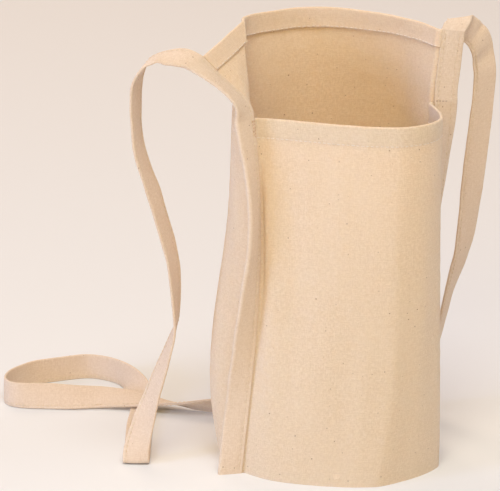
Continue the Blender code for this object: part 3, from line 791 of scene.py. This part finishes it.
def strap_stations():
    """Points along the strap's middle, the way across it and its facing."""
    left, right = ((root + out * BINDING_WIDTH / 2, out)
                   for root, out, _ in (seam("left", BACK_HEIGHT), seam("right", BACK_HEIGHT)))
    points, widths = (np.array(part, float) for part in zip(left, *STRAP_ROUTE, right))
    widths = unit(widths)
    knots = along(points)
    pieces = []
    for start, end in zip(knots, knots[1:]):
        pieces.append(np.linspace(start, end, max(8, round((end - start) / STRAP_STEP)), endpoint=False))
    at = np.concatenate(pieces + [knots[-1:]])
    middle = smoothed(steady(knots, points, at), STRAP_SMOOTHINGS)
    across = unit(smoothed(steady(knots, widths, at), STRAP_SMOOTHINGS))
    tangent = unit(np.gradient(middle, axis=0))
    facing = np.cross(tangent, across)
    sine = np.linalg.norm(facing, axis=1, keepdims=True)
    across = across / np.maximum(sine, LEAST_SINE)
    facing = facing / sine
    runs = along(middle)
    for side, run in (("left", runs), ("right", runs[-1] - runs)):
        _, out, front = seam(side, BACK_HEIGHT)
        match = front if facing[0 if side == "left" else -1] @ front > 0 else -front
        free = ease(run / STRAP_END_BLEND)[:, None]
        across = out * (1 - free) + across * free
        facing = unit(match * (1 - free) + facing * free)
    depth = np.abs(across[:, 2]) * STRAP_WIDTH / 2 + np.abs(facing[:, 2]) * STRAP_THICKNESS / 2
    middle[:, 2] = np.maximum(middle[:, 2], depth + TABLE_GAP)
    return middle, across, facing


def strap_profile(run, total):
    """The folded tape's section: its fold at the outer edge, its two loose edges at the inner one."""
    free = ease(min(run, total - run) / STRAP_END_BLEND)
    held_thickness = CLOTH + 2 * CLEARANCE + 2 * TAPE
    half = (BINDING_WIDTH + (STRAP_WIDTH - BINDING_WIDTH) * free) / 2
    thick = (held_thickness + (STRAP_THICKNESS - held_thickness) * free) / 2
    steps = np.array(STRAP_STEPS) * half
    from_stitches = steps + CLOSING_STITCH * half
    dent = STRAP_DENT * bump(from_stitches, 0.8)
    pucker = 0.05 * bump(from_stitches, 1.8) * math.sin(math.pi * run / STITCH)
    face = thick - dent + pucker
    face[0] = thick * 0.62
    face[1] = thick * 0.93
    fold = [(half * 0.97, thick * 0.80), (half, thick * 0.35)]
    fold += [(a, -b) for a, b in fold[::-1]]
    slit = [(-half, -0.05), (-half * 0.88, -0.03), (-half * 0.88, 0.03), (-half, 0.05)]
    upper = list(zip(steps, face))
    lower = list(zip(steps[::-1], -face[::-1]))
    return upper + fold + lower + slit


def strap(material):
    """The free tape along its route, and its middle line."""
    middle, across, facing = strap_stations()
    runs = along(middle)
    pucker_at = runs[np.argmin(np.linalg.norm(middle - np.array(PUCKER_NEAR), axis=1))]
    turned_over = runs[np.argmax(middle[:, 2])]
    skin = Skin()
    loops = []
    for i, run in enumerate(runs):
        section = strap_profile(run, runs[-1])
        girth = along(np.array(section))
        inner = ease(run / 12.0) * ease((runs[-1] - run) / 12.0)
        cup = 0.35 * rumple(run, 0.0, 51, 70) * inner
        wave = 0.16 * rumple(run, 0.0, 52, 19) * inner
        crumple = 0.7 * bump(run - pucker_at, 5.0) * math.cos((run - pucker_at) / 1.4)
        rounding = 1.8 * bump(run - turned_over, 2.6)
        hollow = 1.9 * bump(runs[-1] - run - HOLLOW_AT, 4.5)
        crease = 0.9 * bump(runs[-1] - run - CREASED_AT, 2.0)
        points = []
        for a, b in section:
            share = a / (STRAP_WIDTH / 2)
            lift = cup * (share ** 2 - 0.4) + wave * share + crumple * max(0.0, share) ** 1.5
            lift += hollow * (1 - 0.6 * share ** 2) + crease * (1 + share)
            along_width = a + 0.12 * wave + rounding * max(0.0, -share) ** 3
            points.append(middle[i] + across[i] * along_width + facing[i] * (b + lift))
        points = np.array(points)
        points[:, 2] = np.maximum(points[:, 2], LEAST_HEIGHT)
        loops.append(skin.add(points, [(g, run) for g in girth]))
    skin.strip(loops, closed=True)
    skin.cap(loops[0])
    skin.cap(loops[-1])
    return skin.make("strap_tape", material), middle, across, facing, runs


# Thread

def read(at, run, line):
    """A line of vectors, read at a distance along it."""
    return np.array([np.interp(at, run, line[:, i]) for i in range(3)])


def thread_line(skin, line, normal, sunk=0.12, stitch=STITCH):
    """A row of stitches along a line that lies on the cloth, each bowed out of its two needle holes."""
    run = along(line)
    count = max(1, round(run[-1] / stitch))
    pitch = run[-1] / count
    probe = 0.3
    for s in range(count):
        start, end = s * pitch + STITCH_GAP, (s + 1) * pitch - STITCH_GAP
        loops = []
        for t in np.linspace(0, 1, STITCH_RINGS):
            at = start + (end - start) * t
            middle = read(at, run, line)
            out = unit(read(at, run, normal))
            way = unit(read(min(at + probe, run[-1]), run, line) - read(max(at - probe, 0), run, line))
            side = unit(np.cross(way, out))
            lift = THREAD * 0.5 - sunk - (THREAD + 0.15) * abs(2 * t - 1) ** 4
            radius = THREAD / 2 * (1 - 0.45 * abs(2 * t - 1) ** 3)
            ring = [middle + out * (lift + radius * math.sin(a)) + side * radius * math.cos(a)
                    for a in np.linspace(0, 2 * math.pi, STITCH_SIDES, endpoint=False)]
            loops.append(skin.add(ring, [(THREAD * k / STITCH_SIDES, at) for k in range(STITCH_SIDES)]))
        skin.strip(loops, closed=True)
        skin.cap(loops[0][::-1])
        skin.cap(loops[-1])


def hem_thread(name, which, shape, material):
    """The hem's stitches on the outside of the cloth and on the turned-in side."""
    grid, normal, heights, hem_face = shape
    at = hem_line(which)
    k = int(np.argmin(np.abs(heights - at)))
    share = (at - heights[k]) / (heights[1] - heights[0])
    row = grid[k] + (grid[k + 1] - grid[k]) * share
    facing = normal[k]
    part = slice(HEM_THREAD_START, -HEM_THREAD_START)
    skin = Skin()
    thread_line(skin, (row - facing * CLOTH / 2)[part], -facing[part])
    thread_line(skin, (row + facing * hem_face)[part], facing[part])
    return skin.make(name, material)


def on_binding(side, height, offset, way):
    """A point on a binding's front or back face, so far from its inner edge, and the way out of it."""
    root, out, front = seam(side, height)
    run = binding_run(side, height)
    outside, _ = binding_profile(height, run)
    reach = np.interp(offset, BINDING_STEPS, [f for _, f in outside[:len(BINDING_STEPS)]])
    return root + out * offset + front * (way * reach + binding_wave(side, run, offset)), front * way


def sew_binding(skin, side, start, end, spots, **stitches):
    """Stitches on both faces of a binding, from one height and distance from its inner edge to another."""
    for way in (1.0, -1.0):
        line = [on_binding(side, height, offset, way) for height, offset in np.linspace(start, end, spots)]
        thread_line(skin, np.array([s[0] for s in line]), np.array([s[1] for s in line]), **stitches)


def binding_thread(name, side, offsets, material):
    """Stitches through a binding, at the given distances from its inner edge."""
    skin = Skin()
    for offset in offsets:
        sew_binding(skin, side, (2.0, offset), (BACK_HEIGHT - 1.0, offset), BINDING_SPOTS)
    return skin.make(name, material)


def tack(name, side, rows, material):
    """Close stitches that hold the front's corner in a binding."""
    skin = Skin()
    for start, end in rows:
        sew_binding(skin, side, start, end, TACK_SPOTS, sunk=0.05, stitch=TACK_STITCH)
    return skin.make(name, material)


def strap_thread(middle, across, facing, material):
    """The stitches that close the free tape, on both of its faces."""
    skin = Skin()
    part = slice(STRAP_THREAD_START, -STRAP_THREAD_START)
    offset = -CLOSING_STITCH * STRAP_WIDTH / 2
    for way in (1.0, -1.0):
        line = middle + across * offset + facing * way * (STRAP_THICKNESS / 2 - STRAP_DENT)
        thread_line(skin, line[part], (facing * way)[part])
    return skin.make("strap_stitches", material)


# Materials

def feed(tree, made, inputs):
    """Sets or links a node's inputs, each by its name or number."""
    for key, value in inputs.items():
        socket = made.inputs[key]
        if isinstance(value, bpy.types.NodeSocket):
            tree.links.new(value, socket)
        else:
            socket.default_value = (*value, 1.0) if socket.type == "RGBA" else value


def node(tree, kind, inputs=None, **settings):
    """A shader node with its settings and its inputs."""
    made = tree.nodes.new(kind)
    for key, value in settings.items():
        setattr(made, key, value)
    feed(tree, made, inputs or {})
    return made


def calc(tree, operation, *values):
    """A math node fed by numbers or sockets."""
    return node(tree, "ShaderNodeMath", dict(enumerate(values)), operation=operation).outputs[0]


def times(tree, a, b):
    """The product of two numbers or sockets."""
    return calc(tree, "MULTIPLY", a, b)


def plus(tree, a, b):
    """Their sum."""
    return calc(tree, "ADD", a, b)


def noise(tree, place, cells, detail=2.0, rough=0.6):
    """Noise over the cloth, with so many cells to the metre along each axis."""
    grid = node(tree, "ShaderNodeVectorMath", {0: place, 1: cells}, operation="MULTIPLY")
    inputs = {"Vector": grid.outputs[0], "Scale": 1.0, "Detail": detail, "Roughness": rough}
    return node(tree, "ShaderNodeTexNoise", inputs, noise_dimensions="3D").outputs["Fac"]


def blend(tree, share, first, second):
    """Mixes two colours, each a value or a socket, by a socket."""
    return node(tree, "ShaderNodeMix", {"Factor": share, 6: first, 7: second}, data_type="RGBA").outputs[2]


def span(tree, value, low, high, to_low=0.0, to_high=1.0):
    """Carries a socket's value from one range over to another, smoothly."""
    inputs = {"Value": value, "From Min": low, "From Max": high, "To Min": to_low, "To Max": to_high}
    return node(tree, "ShaderNodeMapRange", inputs, interpolation_type="SMOOTHSTEP").outputs[0]


def tinted(colour, tint):
    """A colour times a tint, at most 1."""
    return tuple(min(1.0, c * k) for c, k in zip(colour, tint))


def blank(name):
    """A new material, its node tree and its shader."""
    mat = bpy.data.materials.new(name)
    mat.use_nodes = True
    return mat, mat.node_tree, mat.node_tree.nodes["Principled BSDF"]


def cloth_place(tree):
    """Where a point lies on the flat cloth, and the parts of that."""
    place = node(tree, "ShaderNodeAttribute", attribute_name="cloth").outputs["Vector"]
    return place, node(tree, "ShaderNodeSeparateXYZ", {0: place}).outputs


def bumps(tree, shader, height, strength, depth):
    """Relief in the shading by a height's socket, of a depth in metres."""
    lift = node(tree, "ShaderNodeBump", {"Strength": strength, "Distance": depth, "Height": height})
    tree.links.new(lift.outputs[0], shader.inputs["Normal"])


def cotton(name, colour, pitch, through):
    """Plain-woven natural cotton: yarns with painted shade between them, slubs, brown flecks, soft patches
    and some light let through.
    """
    mat, tree, shader = blank(name)
    flat, parts = cloth_place(tree)
    shift = times(tree, noise(tree, flat, (60.0, 60.0, 60.0), 1.0, 0.5), 2.2)
    yarns = math.pi / (pitch * MM)
    across, upward = (calc(tree, "SINE", plus(tree, times(tree, part, turns), shift))
                      for part, turns in ((parts[0], yarns), (parts[1], yarns * WEFT_DENSITY)))
    over = calc(tree, "MULTIPLY_ADD", times(tree, across, upward), 0.5, 0.5)
    warp = times(tree, calc(tree, "ABSOLUTE", across), over)
    weft = times(tree, calc(tree, "ABSOLUTE", upward), calc(tree, "SUBTRACT", 1.0, over))
    weave = plus(tree, warp, weft)

    short, long = (plus(tree, noise(tree, flat, (near, far, 1.0)), noise(tree, flat, (far, near, 1.0)))
                   for near, far in ((1700.0, 480.0), (1500.0, 45.0)))
    slubs = plus(tree, times(tree, short, 0.72), times(tree, long, 0.28))
    patches = noise(tree, flat, (26.0, 20.0, 1.0), 4.0)
    grain = noise(tree, flat, (520.0, 520.0, 1.0), 3.0, 0.65)

    darker = tinted(colour, DARKER)
    tone = blend(tree, span(tree, slubs, 0.80, 1.20), darker, tinted(colour, LIGHTER))
    tone = blend(tree, span(tree, patches, 0.3, 0.72, 0.0, 0.5), tone, colour)
    tone = blend(tree, span(tree, grain, 0.34, 0.66, 0.35, 0.0), tone, darker)
    # Painted shade: darker where the yarns dip, in the hollows between them
    tone = blend(tree, span(tree, weave, 0.0, 0.45, 0.55, 0.0), tone, tinted(colour, SHADE_BETWEEN_YARNS))

    spots = node(tree, "ShaderNodeTexVoronoi", {"Vector": flat, "Scale": FLECK_CELLS},
                 feature="F1", voronoi_dimensions="2D")
    chosen = node(tree, "ShaderNodeSeparateColor", {0: spots.outputs["Color"]}).outputs
    size = span(tree, chosen[1], 0.0, 1.0, 0.03, 0.075)
    inside = calc(tree, "LESS_THAN", spots.outputs["Distance"], size)
    picked = calc(tree, "GREATER_THAN", chosen[0], 0.72)
    strength = span(tree, chosen[2], 0.3, 1.0, 0.12, 0.7)
    fleck = times(tree, times(tree, inside, picked), strength)
    feed(tree, shader, {
        "Base Color": blend(tree, fleck, tone, FLECK), "Roughness": 0.88, "Specular IOR Level": 0.25,
        "Sheen Weight": 0.12, "Sheen Roughness": 0.6, "Subsurface Weight": through,
        "Subsurface Radius": THROUGH_TINT, "Subsurface Scale": THROUGH_DEPTH})
    bumps(tree, shader, plus(tree, weave, times(tree, slubs, 0.9)), 0.55, WEAVE_RELIEF)
    return mat


def thread_material(name, colour):
    """Twisted cotton thread, with painted shade in the grooves of its twist."""
    mat, tree, shader = blank(name)
    _, parts = cloth_place(tree)
    around, ahead = (times(tree, part, 2 * math.pi / (turn * MM))
                     for part, turn in ((parts[0], THREAD), (parts[1], TWIST_LENGTH)))
    twist = calc(tree, "SINE", plus(tree, around, ahead))
    # Painted shade: the thread is darker in the grooves of its twist
    tone = blend(tree, span(tree, twist, -1.0, 0.6), tinted(colour, THREAD_SHADE), colour)
    feed(tree, shader, {"Base Color": tone, "Roughness": 0.75, "Sheen Weight": 0.2})
    bumps(tree, shader, twist, 0.5, TWIST_RELIEF)
    return mat


# Camera, light and floor

def camera():
    """The photograph's view."""
    data = bpy.data.cameras.new("view")
    data.sensor_width = 36.0
    data.sensor_fit = "HORIZONTAL"
    data.lens = LENS
    data.clip_start = 0.05
    data.clip_end = 30.0
    obj = shown("view", data)
    obj.location = CAMERA_PLACE
    obj.rotation_euler = (math.radians(90 - CAMERA_DOWN), 0.0, math.radians(-CAMERA_RIGHT))
    bpy.context.scene.camera = obj


def lamp(name, left, above, size, power, colour):
    """A round lamp at so many degrees to the left of the front and above the table, aimed at the pouch."""
    data = bpy.data.lights.new(name, "AREA")
    data.shape = "DISK"
    data.size = size
    data.energy = power
    data.color = colour
    obj = shown(name, data)
    left, above = math.radians(left), math.radians(above)
    level = LAMP_DISTANCE * math.cos(above)
    away = (-level * math.sin(left), -level * math.cos(left), LAMP_DISTANCE * math.sin(above))
    obj.location = np.add(LAMP_TARGET, away)
    obj.rotation_euler = (math.pi / 2 - above, 0.0, -left)
    obj.visible_camera = False


def surroundings():
    """A pale floor, lamps high and low at the front, on both sides and behind, and the room's own light."""
    mesh = bpy.data.meshes.new("floor")
    bm = bmesh.new()
    bmesh.ops.create_circle(bm, cap_ends=True, segments=64, radius=FLOOR_RADIUS)
    bm.to_mesh(mesh)
    bm.free()
    mat, tree, shader = blank("floor")
    feed(tree, shader, {"Base Color": FLOOR, "Roughness": 0.9})
    mesh.materials.append(mat)
    shown("floor", mesh)

    world = bpy.data.worlds.new("sky")
    world.use_nodes = True
    bpy.context.scene.world = world
    tree = world.node_tree
    glow = tree.nodes["Background"]
    feed(tree, glow, {"Color": ROOM_LIGHT, "Strength": ROOM_STRENGTH})
    seen = node(tree, "ShaderNodeBackground", {"Color": FLOOR, "Strength": 1.0})
    ray = node(tree, "ShaderNodeLightPath").outputs
    straight = plus(tree, ray["Is Camera Ray"], ray["Is Glossy Ray"])
    straight = calc(tree, "MINIMUM", plus(tree, straight, ray["Is Transmission Ray"]), 1.0)
    either = node(tree, "ShaderNodeMixShader", {0: straight, 1: glow.outputs[0], 2: seen.outputs[0]})
    feed(tree, tree.nodes["World Output"], {"Surface": either.outputs[0]})

    for settings in LAMPS:
        lamp(*settings)


def carried(piece, slot, *nodes):
    """Puts a piece on the root body, in the place of any CAD nodes named, which it hides. The slot is not
    used.
    """
    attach(piece, "root")
    if nodes:
        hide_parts(*nodes)


def main():
    """Makes every piece."""
    bpy.context.scene.view_settings.view_transform = "Standard"
    camera()
    surroundings()

    tape = cotton("strap_weave", *TAPE_LOOK)
    thread = thread_material("hem_thread", HEM_THREAD)
    tape_thread = thread_material("tape_thread", TAPE_THREAD)
    band, middle, across, facing, runs = strap(tape)
    carried(band, "strap_tape", "neck_strap")
    closing = strap_thread(middle, across, facing, tape_thread)
    carried(closing, "strap_tape")

    for which, slot in (("front", "front_cloth"), ("back", "back_cloth")):
        weave = cotton(which + "_weave", *CLOTH_LOOK)
        piece, *shape = panel(which + "_cloth", which, weave)
        carried(piece, slot, which + "_panel")
        hem = hem_thread(which + "_hem_stitches", which, shape, thread)
        carried(hem, slot)

    floor_cloth = base(cotton("base_weave", *CLOTH_LOOK))
    carried(floor_cloth, "base_cloth", "base_panel")

    for side, offsets in BINDING_ROWS.items():
        weave = cotton(side + "_tape_weave", *TAPE_LOOK)
        folded = binding(side + "_tape", side, weave)
        carried(folded, side + "_tape", side + "_side_binding")
        sewn = binding_thread(side + "_tape_stitches", side, offsets, tape_thread)
        carried(sewn, side + "_tape")
        # The corner tacks' thread colour carries painted shade of the tape's edge
        tack_thread_and_shade = thread_material(side + "_tack_thread_and_painted_shade", TACK_THREAD_AND_SHADE[side])
        corner = tack(side + "_corner_tack", side, TACKS[side], tack_thread_and_shade)
        carried(corner, side + "_tape")


main()
